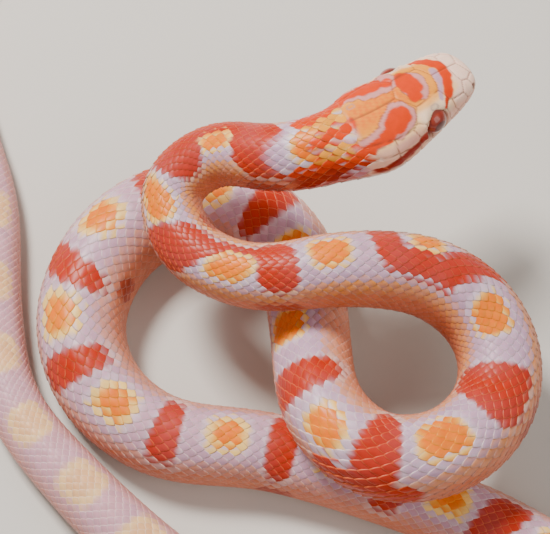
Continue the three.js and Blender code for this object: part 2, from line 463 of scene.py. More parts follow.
def run_depth(s, reach, s0, a0, s1, a1, size):
    """How deep a place lies inside a run between two places: below zero outside."""
    ds, da = s1 - s0, a1 - a0
    t = np.clip(((s - s0) * ds + (reach - a0) * da) / (ds * ds + da * da + 1e-9), 0, 1)
    return size - np.hypot(s - s0 - t * ds, reach - a0 - t * da)


def saddle_depth(s, angle):
    """How deep a place lies inside the nearest saddle or run of saddles."""
    depth = blotch_depth(s, angle, SADDLES)
    arc = half_width(s)
    for s0, a0, s1, a1, size in SADDLE_RUNS:
        run = run_depth(s, angle * arc, s0, math.radians(a0) * arc, s1, math.radians(a1) * arc, size)
        depth = np.maximum(depth, run + 0.3 * wobble(s, angle, 1.0, s0))
    return depth


def side_depth(s, angle):
    """How deep a place lies inside the spots low on the sides, each under every other saddle."""
    left = [(centre, middle + SIDE_ANGLE, *SIDE_SPOT) for centre, middle, *_ in SADDLES[1::2]]
    right = [(centre, middle - SIDE_ANGLE, *SIDE_SPOT) for centre, middle, *_ in SADDLES[::2]]
    return np.maximum(blotch_depth(s, angle, left), blotch_depth(s, angle, right))


def blend(base, top, share):
    share = np.asarray(share)[..., None]
    return base * (1 - share) + top * share


def tones(s, tone):
    """One tone at every place."""
    return np.broadcast_to(linear(tone), np.shape(s) + (3,))


def dust(s, angle):
    """Broad soft patches, from 0 to 1."""
    return 0.5 + 0.5 * wobble(s, angle, 0.6, 4.2)


def mottling(s, angle):
    """Small flecks, from 0 to 1."""
    return 0.5 + 0.5 * np.sin(s * 3.9 + 5 * angle) * np.sin(angle * 17 - s)


def ground_colour(s, angle):
    """Lavender on the back, peach and gold at the sides, salmon and rust below, and the scales' rims."""
    middle = np.interp(s, [row[0] for row in MIDDLE], [row[1] for row in MIDDLE])
    from_middle = np.abs((np.degrees(angle) - middle + 180) % 360 - 180)
    high_flank = smooth(*HIGH_FLANK, from_middle)
    low_flank = smooth(*LOW_FLANK, from_middle)
    fore = smooth(*FORE, s)
    coiled = smooth(*COILED, s)
    rear = smooth(*PALE_FROM, s)
    dusty = dust(s, angle)
    mottle = mottling(s, angle)
    colour = blend(tones(s, LAVENDER), linear(PINK), 0.14 * dusty + 0.14 * coiled + 0.2 * rear)
    upper = blend(tones(s, PEACH), linear(YELLOW), (0.2 + 0.3 * mottle) * fore)
    colour = blend(colour, upper, high_flank * (0.35 + 0.35 * mottle + 0.3 * fore) * (1 - 0.6 * rear))
    lower = blend(tones(s, SALMON), linear(PEACH), 0.35 * mottle)
    lower = blend(lower, linear(RUST), (0.25 + 0.35 * dusty) * (0.4 + 0.6 * fore))
    colour = blend(colour, lower, low_flank * (0.9 - 0.45 * rear))
    colour = blend(colour, linear(DEEP_RED), 0.7 * smooth(-0.4, 0.8, side_depth(s, angle)) * (1 - rear))
    spots = blotch_depth(s, angle, PALE_SPOTS)
    colour = blend(colour, linear(CREAM), 0.7 * smooth(-0.8, 0.4, spots))
    colour = blend(colour, linear(SALMON), 0.3 * smooth(0.9, 1.6, spots))
    rim = blend(colour, linear(IVORY), 0.6 - 0.3 * low_flank)
    # On the sides the rims turn brown, most in the fore part: partly the scales' own brown outlines, partly
    # painted shade between the scales.
    rim = blend(rim, linear(CONTOUR), (0.3 + 0.4 * fore) * high_flank * (1 - 0.4 * low_flank))
    return colour, rim


def body_colour(s, angle):
    """Colour of the skin behind the head, and of the rims of its scales."""
    colour, rim = ground_colour(s, angle)
    gone = VANISH * smooth(*PALE_FROM, s)
    button = blotch_depth(s, angle, BUTTONS) - gone
    saddle = saddle_depth(s, angle) - gone
    core = button - CREAM_EDGE * smooth(*COILED, s)
    free = smooth(0.2, -0.2, button)
    colour = blend(colour, linear(PALE_EDGE), 0.3 * smooth(-1.2, -0.5, np.maximum(saddle, button)))
    colour = blend(colour, linear(DEEP_RED), 0.6 * smooth(-0.45, -0.25, saddle) * free)
    colour = blend(colour, linear(RED), smooth(-0.45, 0.2, saddle) * (0.8 + 0.2 * dust(s, angle)) * free)
    rim = blend(rim, linear(RED_EDGE), smooth(-0.45, -0.15, saddle) * free)
    colour = blend(colour, linear(CREAM), smooth(-0.25, 0.05, button))
    colour = blend(colour, linear(YELLOW), 0.75 * smooth(0.1, 0.5, core))
    colour = blend(colour, linear(ORANGE), smooth(0.4, 1.1, core) * (0.65 + 0.35 * mottling(s, angle)))
    rim = blend(rim, linear(CONTOUR), 0.75 * smooth(-0.4, -0.1, button) * smooth(0.7, 0.3, button))
    rim = blend(rim, linear(YELLOW), smooth(0.4, 0.8, button))
    checks = smooth(0.2, 0.6, np.sin(s * 1.9) * np.sin(angle * 5 + s * 0.3))
    under = blend(tones(s, IVORY), linear(SALMON), 0.15 + 0.35 * checks)
    turned = np.degrees(np.abs((angle + np.pi) % (2 * np.pi) - np.pi))
    belly = smooth(*BELLY_FROM, turned)
    return blend(colour, under, belly), blend(rim, under, belly)


# The shields of the head, each a run between two places and a reach about it. Places are the distance from
# the snout and the way round from the middle of the crown, in millimetres.
MIDDLE_SHIELDS = {
    "rostral": (0.2, 0, 0.3, 0, 1.4),
    "frontal": (10.2, 0, 13.0, 0, 2.0),
    "mental": (0.6, 13.6, 0.8, 13.6, 0.8),
}
PAIRED_SHIELDS = {
    "internasal": (2.8, 1.3, 2.8, 1.6, 1.0),
    "prefrontal": (6.2, 1.4, 6.2, 3.0, 1.7),
    "supraocular": (10.2, 4.3, 13.4, 4.9, 1.2),
    "parietal": (17.0, 2.6, 21.4, 2.0, 2.2),
    "nasal_front": (1.4, 3.7, 1.4, 4.9, 0.8),
    "nasal_rear": (3.2, 4.4, 3.2, 5.4, 0.9),
    "loreal": (5.8, 6.2, 6.8, 6.4, 0.8),
    "preocular": (8.3, 6.2, 8.4, 7.8, 0.6),
    "eye": (12.0, 7.7, 12.0, 7.7, 2.5),
    "postocular_high": (14.9, 6.6, 15.0, 6.8, 0.7),
    "postocular_low": (14.9, 8.6, 15.0, 8.7, 0.6),
    "temporal_high": (17.2, 7.4, 18.6, 7.3, 0.8),
    "temporal_low": (17.4, 9.6, 18.6, 9.5, 0.7),
    "temporal_rear": (21.0, 7.0, 22.0, 6.8, 0.9),
    "temporal_mid": (21.2, 9.2, 22.2, 9.0, 0.8),
    "chin_front": (4.2, 14.8, 6.4, 15.4, 1.0),
    "chin_rear": (9.6, 15.8, 11.6, 16.4, 1.0),
}
UPPER_LIPS = (1.9, 3.7, 5.5, 7.4, 9.5, 11.9, 14.6, 17.5, 20.5)
LOWER_LIPS = (2.1, 3.9, 5.8, 7.8, 10.0, 12.4, 15.0, 17.8, 20.6)
LIP_OFFSET = 1.25  # from the mouth line to the far end of a lip shield's run
LIP_SIZE = 0.75
THROAT = {"start": 14.5, "end": 25, "step": 2.3, "length": 0.7, "size": 0.5}
THROAT_ROWS = [13.2 + 1.7 * row for row in range(5)]
MOUTH = {"corner": 21.5, "front": -0.9, "sag": 1.6}
NOSTRIL = {"s": 2.0, "z": 0.6}


def mouth_height(s):
    """Height of the mouth line beside the middle line, lowest halfway to its corner."""
    return MOUTH["front"] - MOUTH["sag"] * np.sin(np.pi * np.clip(s, 0, MOUTH["corner"]) / MOUTH["corner"])


def girth_reach(s, angle):
    """Distance round the head from the middle of the crown."""
    rise = np.where(np.abs(angle) < np.pi / 2, head_rise(s), (head_rise(s) + head_drop(s)) / 2)
    return angle * np.sqrt((head_width(s) ** 2 + rise**2) / 2)


def angle_of_height(s, z):
    """The angle at which the side of the head is at this height below the middle line."""
    share = np.clip(-z / (FLAT_BELLY * head_drop(s)), 0, 1) ** (1 / ROUND_BELLY)
    return np.pi / 2 + np.arcsin(np.clip(share, 0, 1))


def shield_runs():
    """Every shield's run and reach, and whether it has a twin on the other side."""
    runs = [(*run, False) for run in MIDDLE_SHIELDS.values()]
    runs += [(*run, True) for run in PAIRED_SHIELDS.values()]
    for lips, offset in ((UPPER_LIPS, -LIP_OFFSET), (LOWER_LIPS, LIP_OFFSET)):
        for s in lips:
            at_mouth = float(girth_reach(s, angle_of_height(s, mouth_height(s))))
            runs.append((s, at_mouth + offset * 0.8, s, at_mouth + offset, LIP_SIZE, True))
    for s in np.arange(THROAT["start"], THROAT["end"], THROAT["step"]):
        for row, reach in enumerate(THROAT_ROWS):
            shifted = s + row % 2
            runs.append((shifted, reach, shifted + THROAT["length"], reach, THROAT["size"], True))
    return runs


def shields(s, reach):
    """Distance inside the nearest shield's edge, and a number for that shield."""
    first = np.full(np.shape(s), FAR)
    second = np.full(np.shape(s), FAR)
    number = np.zeros(np.shape(s))
    for k, (s0, a0, s1, a1, size, paired) in enumerate(shield_runs()):
        for side in (1, -1) if paired else (1,):
            outside = -run_depth(s, reach, s0, a0 * side, s1, a1 * side, size)
            nearer = outside < first
            second = np.where(nearer, first, np.minimum(second, outside))
            number = np.where(nearer, k * 2 + side, number)
            first = np.where(nearer, outside, first)
    return (second - first) / 2, number


# Red marks of the head, each a run and its reach, and the rose that rings them.
HEAD_MARKS = [
    (12.0, 1.4, 12.1, 0.3, 1.75),
    (12.0, 0.5, 12.8, -1.2, 1.2),
    (16.9, -2.75, 18.4, -3.4, 1.65),
    (18.4, -3.4, 20.4, -4.6, 1.15),
    (20.4, -4.6, 24.0, -5.4, 0.8),
    (14.4, 3.1, 16.6, 4.1, 0.95),
    (16.4, 4.4, 18.8, 4.6, 1.65),
    (18.8, 4.6, 24.0, 5.6, 1.2),
    (24.2, -0.5, 26.4, -1.2, 0.95),
    (26.4, -1.2, 29.4, -2.4, 1.1),
]
NECK_MARKS = [
    (24.0, -6.0, 28.0, -7.8, 1.5),
    (28.0, -7.8, 36.5, -9.0, 2.3),
    (24.0, 5.6, 30.0, 3.3, 2.0),
    (30.0, 3.3, 31.4, 3.0, 1.8),
    (27.0, 8.4, 36.0, 9.0, 1.9),
]
ROSE_MARKS = [
    (11.4, 0.6, 11.8, -0.3, 2.2),
    (16.9, -2.75, 18.4, -3.5, 2.35),
    (18.4, -3.5, 23.6, -4.9, 1.4),
    (15.0, 3.6, 18.8, 4.2, 2.3),
    (18.8, 4.3, 24.0, 5.5, 1.8),
    (25.0, -1.3, 29.6, -2.5, 1.3),
]
BAND_MARKS = [
    (7.6, 4.6, 6.2, 2.6, 0.8),
    (6.2, 2.6, 5.0, 0.7, 0.95),
    (5.0, 0.7, 5.6, -1.0, 1.05),
    (5.6, -1.0, 7.6, -3.8, 0.9),
    (7.6, -3.8, 9.6, -5.3, 0.4),
    (14.6, -8.3, 18.1, -9.6, 0.8),
    (18.1, -9.6, 22.5, -11.2, 1.0),
    (14.6, 8.3, 18.1, 9.6, 0.8),
    (18.1, 9.6, 22.5, 11.2, 1.0),
]
LAVENDER_MARKS = [
    (6.9, 0.4, 7.4, -1.3, 0.65),
    (7.4, -1.3, 9.4, -3.8, 0.4),
]
OVALS = ((10.8, 4.6), (11.3, -4.3), (22.4, 2.2))
CROWN_GOLD = (9.5, 0.4, 24, 0, 3.4)
BEHIND_SHIELDS = (23.2, 24.8)
NAPE_GOLD = [
    (23.8, 1.7, 27.0, 1.5, 1.35),
    (27.0, 1.5, 30.4, -0.6, 1.5),
    (30.4, -0.6, 31.6, -1.2, 1.8),
    (31.6, -1.2, 31.5, -3.0, 1.8),
    (31.5, -3.0, 29.5, -4.7, 1.5),
    (29.5, -4.7, 24.4, -4.1, 1.15),
]


def deepest(s, reach, runs):
    """How deep a place lies inside the nearest of these runs."""
    return np.maximum.reduce([run_depth(s, reach, *run) for run in runs])


def crown_colour(s, reach):
    """Cream and freckled gold on the crown, a pale muzzle, pinkish cheeks and ivory brows."""
    away = np.abs(reach)
    gold = run_depth(s, reach, *CROWN_GOLD)
    freckle = 0.5 + 0.5 * np.sin(s * 5.3 + 2 * np.sin(reach * 3.7)) * np.sin(reach * 6.1 + s)
    speckled = smooth(0.2, 2.2, gold) * smooth(12, 15, s) * (0.3 + 0.6 * freckle)
    side = smooth(5.2, 7.2, away)
    brow = smooth(3.4, 4.2, away) * smooth(7.5, 9, s) * smooth(15.5, 14, s)
    colour = blend(tones(s, HEAD_CREAM), linear(YELLOW), 0.9 * smooth(-1.4, 0.8, gold))
    colour = blend(colour, linear(ORANGE), speckled)
    colour = blend(colour, linear(MUZZLE), smooth(6.2, 4.0, s - 2.5 * smooth(3, 5, away)))
    colour = blend(colour, linear(CHEEK), 0.9 * side)
    return blend(colour, linear(IVORY), 0.45 * brow * (1 - 0.6 * side))


def nape_colour(s, reach, nape, neck):
    """Lavender, with gold in the nape's mark and rust at the sides."""
    colour = blend(tones(s, LAVENDER), linear(PALE_EDGE), 0.4 * smooth(-1.2, -0.3, np.maximum(nape, neck)))
    colour = blend(colour, linear(CREAM), smooth(-0.15, 0.15, nape))
    colour = blend(colour, linear(YELLOW), 0.85 * smooth(0.0, 0.4, nape))
    colour = blend(colour, linear(ORANGE), smooth(0.4, 1.0, nape) * smooth(28.5, 31.5, s))
    return blend(colour, linear(RUST), 0.8 * smooth(8.5, 11, np.abs(reach)))


def head_colour(s, angle):
    """Colour of the head and nape, and of the rims of its scales."""
    reach = girth_reach(s, angle)
    away = np.abs(reach)
    wave = 0.10 * np.sin(s * 2.7 + reach * 1.9) + 0.06 * np.sin(reach * 4.1 - s * 1.3)
    mark = deepest(s, reach, HEAD_MARKS) + wave
    rose = deepest(s, reach, ROSE_MARKS) + wave
    neck = deepest(s, reach, NECK_MARKS) + 2 * wave
    band = deepest(s, reach, BAND_MARKS) + wave
    nape = deepest(s, reach, NAPE_GOLD) + wave
    lavender = deepest(s, reach, LAVENDER_MARKS)
    behind = smooth(*BEHIND_SHIELDS, s)
    marked = np.maximum(smooth(-0.1, 0.1, np.maximum(mark, neck)), smooth(-0.15, 0.15, band))
    throat = smooth(11.6, 12.8, away)
    colour = blend(crown_colour(s, reach), nape_colour(s, reach, nape, neck), behind)
    colour = blend(colour, linear(LAVENDER), 0.9 * smooth(-0.15, 0.1, lavender))
    colour = blend(colour, linear(ROSE), smooth(-0.06, 0.06, rose))
    colour = blend(colour, linear(CONTOUR), 0.6 * smooth(-0.16, -0.06, rose) * smooth(0.12, 0.02, rose))
    colour = blend(colour, linear(CONTOUR), 0.4 * smooth(-0.2, -0.05, mark) * smooth(0.1, 0.0, mark))
    colour = blend(colour, blend(tones(s, HEAD_RED), linear(DEEP_RED), smooth(6, 9, away)), marked)
    for s0, a0 in OVALS:
        oval = run_depth(s, reach, s0, a0, s0 + 0.5, a0, 0.5)
        colour = blend(colour, linear(DUSK), 0.6 * smooth(-0.15, 0.0, oval) * smooth(0.32, 0.15, oval))
    colour = blend(colour, linear(IVORY), throat)
    rim = blend(colour, linear(IVORY), 0.5)
    rim = blend(rim, linear(RED_EDGE), marked * (1 - throat))
    rim = blend(rim, linear(GOLD_EDGE), smooth(-0.4, 0.0, nape) * (1 - marked) * behind)
    rim = blend(rim, linear(CONTOUR), 0.7 * smooth(-0.4, 0.0, nape) * smooth(0.6, 0.2, nape) * (1 - marked))
    return colour, rim


NAPE_END = (34, 36.5)
HEAD_MARKS_END = 38


def colour_at(s, angle):
    """The markings of the whole animal, head and body, and the colour of its scales' rims."""
    behind = smooth(*NAPE_END, s + 1.5 * np.sin(angle * 3))
    head, head_rim = head_colour(np.minimum(s, HEAD_MARKS_END), angle)
    body, body_rim = body_colour(s, angle)
    return blend(head, body, behind), blend(head_rim, body_rim, behind)


# Sizes of the skin and what lies on it.
SKIN_SIDES = 160
SNOUT_STEP = 0.1
HEAD_STEP = 0.2
SKIN_STEP = 2.0
FINE_END = 31
SKIN_DEPTH = 0.12  # the skin between the scales lies this far below their tops
BEHIND_CROWN = 24.0  # the scales begin here on the back, and nearer at the jaw
BEHIND_JAW = 22.0
GROOVE = 0.16
MOUTH_DEPTH = 0.35
NOSTRIL_DEPTH = 0.4
SOCKET_DEPTH = 1.4
LID_RISE = 0.12
BROW_RISE = 0.36
BROW_HEIGHT = (0.8, 2.0)  # above the middle of the eye
BROW_COVER = 0.3  # the brow hides this much of the eye's top
BACK_REACH = math.radians(124)  # the rows of the back end here and the belly plates begin
# Rows of scales round the back, each up to a distance from the snout.
SCALE_ROWS = [(60, 29), (440, 31), (505, 27), (VENT, 23), (552, 19), (572, 15), (592, 11), (607, 9), (999, 7)]
SCALE_PIECES = {
    "scales_neck": 110,
    "scales_fore": 230,
    "scales_mid": 360,
    "scales_rear": 480,
    "scales_tail": 999,
}
PITCH_SHARE = 0.31
SMALLEST_PITCH = 0.75
TAIL_BARE = 3  # no scale begins nearer than this to the tail's tip
SCALE_LAP = 1.16
SCALE_BREADTH = 0.92
SCALE_SINK = 0.17
SCALE_THICK = 0.24
SHADES = (0.92, 1.06)
SNAP = 0.45  # how much of a scale takes the one colour of its middle
PATCH = 0.003
# One scale, in shares of its size. Each ring has its share of the outline, of the rim's colour, and its drop.
SCALE_SIDES = 12
SCALE_RINGS = ((0.84, 0.0, 0.0), (1.0, 0.75, 0.06), (1.02, 1.0, 0.8))
SCALE_POWER = 1.32  # 1 is a sharp lozenge and 2 an oval
SCALE_LENGTH = 0.64
SCALE_WIDTH = 0.56
SCALE_AHEAD = 0.06
SCALE_TOP = 0.68
SCALE_EDGE = 0.52
SCALE_RIDGE = 0.16
# The belly plates. Each row has its share of the way to the next plate, and its height over the skin.
BELLY_PITCH_SHARE = 0.39
BELLY_ACROSS = 16
BELLY_LAP = 0.06
BELLY_PARTING = 0.08
BELLY_BARE = 4
BELLY_ROWS = ((0.0, -0.10), (0.45, -0.02), (1.0, 0.06), (1.18, 0.1), (1.2, -0.12))


def mesh_object(name, vertices, faces, material):
    mesh = bpy.data.meshes.new(name)
    mesh.from_pydata(np.asarray(vertices).tolist(), [], faces)
    mesh.materials.append(material)
    mesh.validate()
    thing = bpy.data.objects.new(name, mesh)
    bpy.context.scene.collection.objects.link(thing)
    mesh.polygons.foreach_set("use_smooth", [True] * len(mesh.polygons))
    return thing


def put_attribute(thing, name, kind, values):
    attribute = thing.data.attributes.new(name, kind, "POINT")
    field = {"FLOAT_COLOR": "color", "FLOAT_VECTOR": "vector", "FLOAT": "value"}[kind]
    values = np.asarray(values, float)
    if kind == "FLOAT_COLOR":
        values = np.hstack([values, np.ones((len(values), 1))])
    attribute.data.foreach_set(field, values.ravel())


def grid_faces(rows, columns, closed=True):
    """Faces of a grid of points, rows along the body and columns round it."""
    faces = []
    for i in range(rows - 1):
        for j in range(columns if closed else columns - 1):
            k = (j + 1) % columns
            faces.append((i * columns + j, i * columns + k, (i + 1) * columns + k, (i + 1) * columns + j))
    return faces


def skin_rings():
    """Distances of the skin's rings of points: close on the head, wider behind it."""
    snout = np.arange(SNOUT_STEP / 2, 1, SNOUT_STEP)
    head = np.arange(1, FINE_END, HEAD_STEP)
    body = np.arange(FINE_END, path.length - 1, SKIN_STEP)
    return np.r_[snout, head, body, path.length - 0.7]


def head_hollows(s, angle, y, z):
    """How much a place belongs to the mouth line, a nostril, an eye socket, its lids and its brow."""
    mouth = smooth(0.34, 0.05, np.abs(z - mouth_height(s))) * (s < MOUTH["corner"]) * (np.abs(angle) > 1.2)
    from_nostril = np.hypot(s - NOSTRIL["s"], z - NOSTRIL["z"]) + FAR * (np.abs(y) < 2)
    from_eye = np.hypot(s - EYE["s"], z - EYE["z"]) + FAR * (np.abs(y) < 3)
    high = smooth(*BROW_HEIGHT, z - EYE["z"])
    edge = EYE["radius"] - BROW_COVER * high
    nostril = smooth(0.55, 0.25, from_nostril)
    socket = smooth(edge, edge - 0.5, from_eye)
    lid = smooth(0.5, 0.1, np.abs(from_eye - EYE["radius"] - 0.3))
    brow = smooth(1.5, 0.4, np.abs(from_eye - EYE["radius"])) * high
    return mouth, nostril, socket, lid, brow


def make_skin(material):
    """One closed skin from snout to tail tip, with the head's shields, eye sockets, nostrils and mouth."""
    rings = skin_rings()
    angle = np.linspace(-np.pi, np.pi, SKIN_SIDES, endpoint=False)
    s, angle = (v.ravel() for v in np.meshgrid(rings, angle, indexing="ij"))
    y, z = section(s, angle)
    reach = girth_reach(s, angle)
    away = np.abs(reach)
    inside, number = shields(s, reach)
    on_head = smooth(BEHIND_CROWN + 0.4, BEHIND_CROWN - 0.2, s + 2 * smooth(5, 8, away))
    mouth, nostril, socket, lid, brow = head_hollows(s, angle, y, z)
    sink = SKIN_DEPTH * (1 - on_head) + GROOVE * on_head * (1 - smooth(0.02, 0.24, inside))
    sink += MOUTH_DEPTH * mouth + NOSTRIL_DEPTH * nostril
    sink += SOCKET_DEPTH * socket - LID_RISE * lid - BROW_RISE * brow
    kept = 1 - sink / np.maximum(np.hypot(y, z), 1e-6)
    vertices = path.place(s, y * kept, z * kept)
    vertices = np.vstack([vertices, path.place(np.array([0.0, path.length]), np.zeros(2), np.zeros(2))])
    faces = grid_faces(len(rings), SKIN_SIDES)
    nose, tip = len(s), len(s) + 1
    last = (len(rings) - 1) * SKIN_SIDES
    for j in range(SKIN_SIDES):
        k = (j + 1) % SKIN_SIDES
        faces.append((nose, k, j))
        faces.append((tip, last + j, last + k))
    colour, rim = colour_at(s, angle)
    cheek = smooth(6.2, 6.8, away) * smooth(8.4, 7.6, away) * smooth(12, 14, s)
    colour = blend(colour, linear(ROSE), 0.5 * cheek * on_head * (0.5 + 0.5 * np.sin(number * 2.4)))
    colour = blend(colour, linear(CONTOUR), 0.72 * on_head * smooth(0.14, 0.0, inside))
    colour = blend(colour, linear(SHADOW), np.maximum.reduce([0.7 * mouth, 0.9 * nostril, 0.9 * socket]))
    # The skin between the scales takes their rims' colour; on the sides that brown is partly painted shade
    # between the scales.
    colour = blend(colour, rim, 0.7 * (1 - on_head))
    skin = mesh_object("skin", vertices, faces, material)
    put_attribute(skin, "tone", "FLOAT_COLOR", np.vstack([colour, colour[:1], colour[-1:]]))
    return skin


def scale_template():
    """One scale, a unit long and wide: a rounded lozenge, thin at its root, with a turned-down rim."""
    vertices = [(SCALE_AHEAD, 0, SCALE_TOP)]
    rim = [0.0]
    for ring, (share, rim_share, drop) in enumerate(SCALE_RINGS):
        for j in range(SCALE_SIDES):
            turn = 2 * math.pi * j / SCALE_SIDES
            c, n = math.cos(turn), math.sin(turn)
            radius = (abs(c) ** SCALE_POWER + abs(n) ** SCALE_POWER) ** (-1 / SCALE_POWER)
            u, v = share * radius * c, share * radius * n
            height = SCALE_EDGE + 0.42 * u - 0.5 * v * v - 0.22 * max(u, 0) ** 3
            ridge = SCALE_RIDGE if abs(n) < 0.05 and ring == 0 else 0.0
            vertices.append((u * SCALE_LENGTH + SCALE_AHEAD, v * SCALE_WIDTH, height + ridge - drop))
            rim.append(rim_share)
    faces = [(0, 1 + j, 1 + (j + 1) % SCALE_SIDES) for j in range(SCALE_SIDES)]
    for ring in range(len(SCALE_RINGS) - 1):
        for j in range(SCALE_SIDES):
            a = 1 + ring * SCALE_SIDES + j
            b = 1 + ring * SCALE_SIDES + (j + 1) % SCALE_SIDES
            faces.append((a, a + SCALE_SIDES, b + SCALE_SIDES, b))
    return vertices, faces, rim


def make_scale_tree(template, material):
    """Sets a scale on every point, turned and sized by the point's own attributes."""
    tree = bpy.data.node_groups.new("scales on points", "GeometryNodeTree")
    face = tree.interface
    face.new_socket("Geometry", in_out="INPUT", socket_type="NodeSocketGeometry")
    size = face.new_socket("Size", in_out="INPUT", socket_type="NodeSocketFloat")
    size.default_value = 1.0
    patch = face.new_socket("Patch", in_out="INPUT", socket_type="NodeSocketFloat")
    patch.default_value = PATCH
    face.new_socket("Geometry", in_out="OUTPUT", socket_type="NodeSocketGeometry")
    add = tree.nodes.new
    link = tree.links.new
    given = add("NodeGroupInput")
    result = add("NodeGroupOutput")

    def named(name, kind):
        node = add("GeometryNodeInputNamedAttribute")
        node.data_type = kind
        node.inputs["Name"].default_value = name
        return node.outputs["Attribute"]

    source = add("GeometryNodeObjectInfo")
    source.inputs["Object"].default_value = template
    span = add("ShaderNodeVectorMath")
    span.operation = "SCALE"
    link(named("span", "FLOAT_VECTOR"), span.inputs[0])
    link(given.outputs["Size"], span.inputs["Scale"])
    place = add("GeometryNodeInstanceOnPoints")
    link(given.outputs["Geometry"], place.inputs["Points"])
    link(source.outputs["Geometry"], place.inputs["Instance"])
    link(named("turn", "FLOAT_VECTOR"), place.inputs["Rotation"])
    link(span.outputs["Vector"], place.inputs["Scale"])
    real = add("GeometryNodeRealizeInstances")
    link(place.outputs["Instances"], real.inputs["Geometry"])
    within = add("ShaderNodeVectorMath")
    within.operation = "SCALE"
    link(named("within", "FLOAT_VECTOR"), within.inputs[0])
    link(given.outputs["Patch"], within.inputs["Scale"])
    spot = add("ShaderNodeVectorMath")
    spot.operation = "ADD"
    link(named("root", "FLOAT_VECTOR"), spot.inputs[0])
    link(within.outputs["Vector"], spot.inputs[1])
    store = add("GeometryNodeStoreNamedAttribute")
    store.data_type = "FLOAT2"
    store.domain = "CORNER"
    store.inputs["Name"].default_value = "OFBake"
    link(real.outputs["Geometry"], store.inputs["Geometry"])
    link(spot.outputs["Vector"], store.inputs["Value"])
    paint = add("GeometryNodeSetMaterial")
    paint.inputs["Material"].default_value = material
    link(store.outputs["Geometry"], paint.inputs["Geometry"])
    link(paint.outputs["Geometry"], result.inputs["Geometry"])
    return tree, size.identifier, patch.identifier


def turns(tail, out):
    """Euler turns that lay a scale's length along the body and its top outwards."""
    across = np.cross(out, tail)
    x = np.arctan2(across[:, 2], out[:, 2])
    y = -np.arcsin(np.clip(tail[:, 2], -1, 1))
    z = np.arctan2(tail[:, 1], tail[:, 0])
    return np.stack([x, y, z], axis=1)


def scale_places():
    """Distance and angle of every scale of the back and sides, in rows that alternate."""
    places = []
    s = BEHIND_JAW
    while s < path.length - TAIL_BARE:
        rows = next(count for end, count in SCALE_ROWS if s < end)
        pitch = max(PITCH_SHARE * float(half_width(s)), SMALLEST_PITCH)
        for row in range(rows):
            from_middle = row - (rows - 1) / 2
            angle = from_middle / (rows / 2) * BACK_REACH
            here = s + (row % 2) * pitch / 2
            side = smooth(0.5, 1.1, abs(angle))
            if here > BEHIND_CROWN + (BEHIND_JAW - BEHIND_CROWN) * side:
                places.append((here, angle, pitch, rows, abs(from_middle)))
        s += pitch
    return np.array(places)


def read_attribute(mesh, name):
    values = np.zeros(len(mesh.vertices) * 3)
    mesh.attributes[name].data.foreach_get("vector", values)
    return values.reshape(-1, 3)


def paint_scales(piece):
    """Colours every point of the scales by its own place on the animal."""
    mesh = piece.data
    within = read_attribute(mesh, "within")
    middle = read_attribute(mesh, "middle")
    off = within * read_attribute(mesh, "cover") * (1 - SNAP)
    colour, rim = colour_at(middle[:, 0] + off[:, 0], middle[:, 1] + off[:, 1])
    put_attribute(piece, "tone", "FLOAT_COLOR", np.clip(colour * middle[:, 2:], 0, 1))
    put_attribute(piece, "rim_tone", "FLOAT_COLOR", rim)
    for name in ("span", "turn", "root", "within", "cover", "middle"):
        mesh.attributes.remove(mesh.attributes[name])


def scale_fields():
    """Distance and place of every scale, and what its point tells the tree and the paint."""
    s, angle, pitch, rows, from_middle = scale_places().T
    here, tail, out, stretch = skin_frame(s, angle)
    ring = skin_at(s, angle + BACK_REACH / rows) - skin_at(s, angle - BACK_REACH / rows)
    row_width = np.linalg.norm(ring, axis=1)
    low = smooth(9, 13, from_middle)
    length = pitch * MM * stretch * (SCALE_LAP + 0.05 * low)
    width = 2 * row_width * (SCALE_BREADTH + 0.06 * low)
    height = np.minimum(SCALE_THICK * MM, 0.16 * width)
    shade = np.random.default_rng(SEED).uniform(*SHADES, len(s))
    none = np.zeros(len(s))
    fields = {
        "span": (length, width, height),
        "turn": turns(tail, out).T,
        "root": (s / path.length, angle / (2 * np.pi) + 0.5, none),
        "cover": (length / (stretch * MM), width / row_width * 2 * BACK_REACH / rows, none),
        "middle": (s, angle, shade),
    }
    fields = {name: np.stack(columns, axis=1) for name, columns in fields.items()}
    return s, here - out * (SCALE_SINK * MM), fields


def make_scale_piece(name, places, fields, tree, sockets):
    """The scales on these points, as one plain mesh."""
    points = bpy.data.meshes.new(name + " points")
    points.from_pydata(places.tolist(), [], [])
    holder = bpy.data.objects.new(name + " points", points)
    bpy.context.scene.collection.objects.link(holder)
    for field, values in fields.items():
        put_attribute(holder, field, "FLOAT_VECTOR", values)
    nodes = holder.modifiers.new("scales", "NODES")
    nodes.node_group = tree
    for socket, value in sockets.items():
        nodes[socket] = value
    evaluated = holder.evaluated_get(bpy.context.evaluated_depsgraph_get())
    mesh = bpy.data.meshes.new_from_object(evaluated)
    bpy.data.objects.remove(holder)
    piece = bpy.data.objects.new(name, mesh)
    bpy.context.scene.collection.objects.link(piece)
    mesh.polygons.foreach_set("use_smooth", [True] * len(mesh.polygons))
    paint_scales(piece)
    return piece


def make_scales(material):
    """The scales of the back and sides, in pieces from neck to tail."""
    vertices, faces, rim = scale_template()
    template = mesh_object("scale_template", vertices, faces, material)
    put_attribute(template, "rim", "FLOAT", rim)
    put_attribute(template, "within", "FLOAT_VECTOR", np.array(vertices) * (1, 1, 0))
    tree, size_socket, patch_socket = make_scale_tree(template, material)
    sockets = {size_socket: 1.0, patch_socket: PATCH}
    s, places, fields = scale_fields()
    pieces = []
    start = 0
    for name, end in SCALE_PIECES.items():
        chosen = (s >= start) & (s < end)
        own = {field: values[chosen] for field, values in fields.items()}
        pieces.append(make_scale_piece(name, places[chosen], own, tree, sockets))
        start = end
    bpy.data.objects.remove(template)
    return pieces


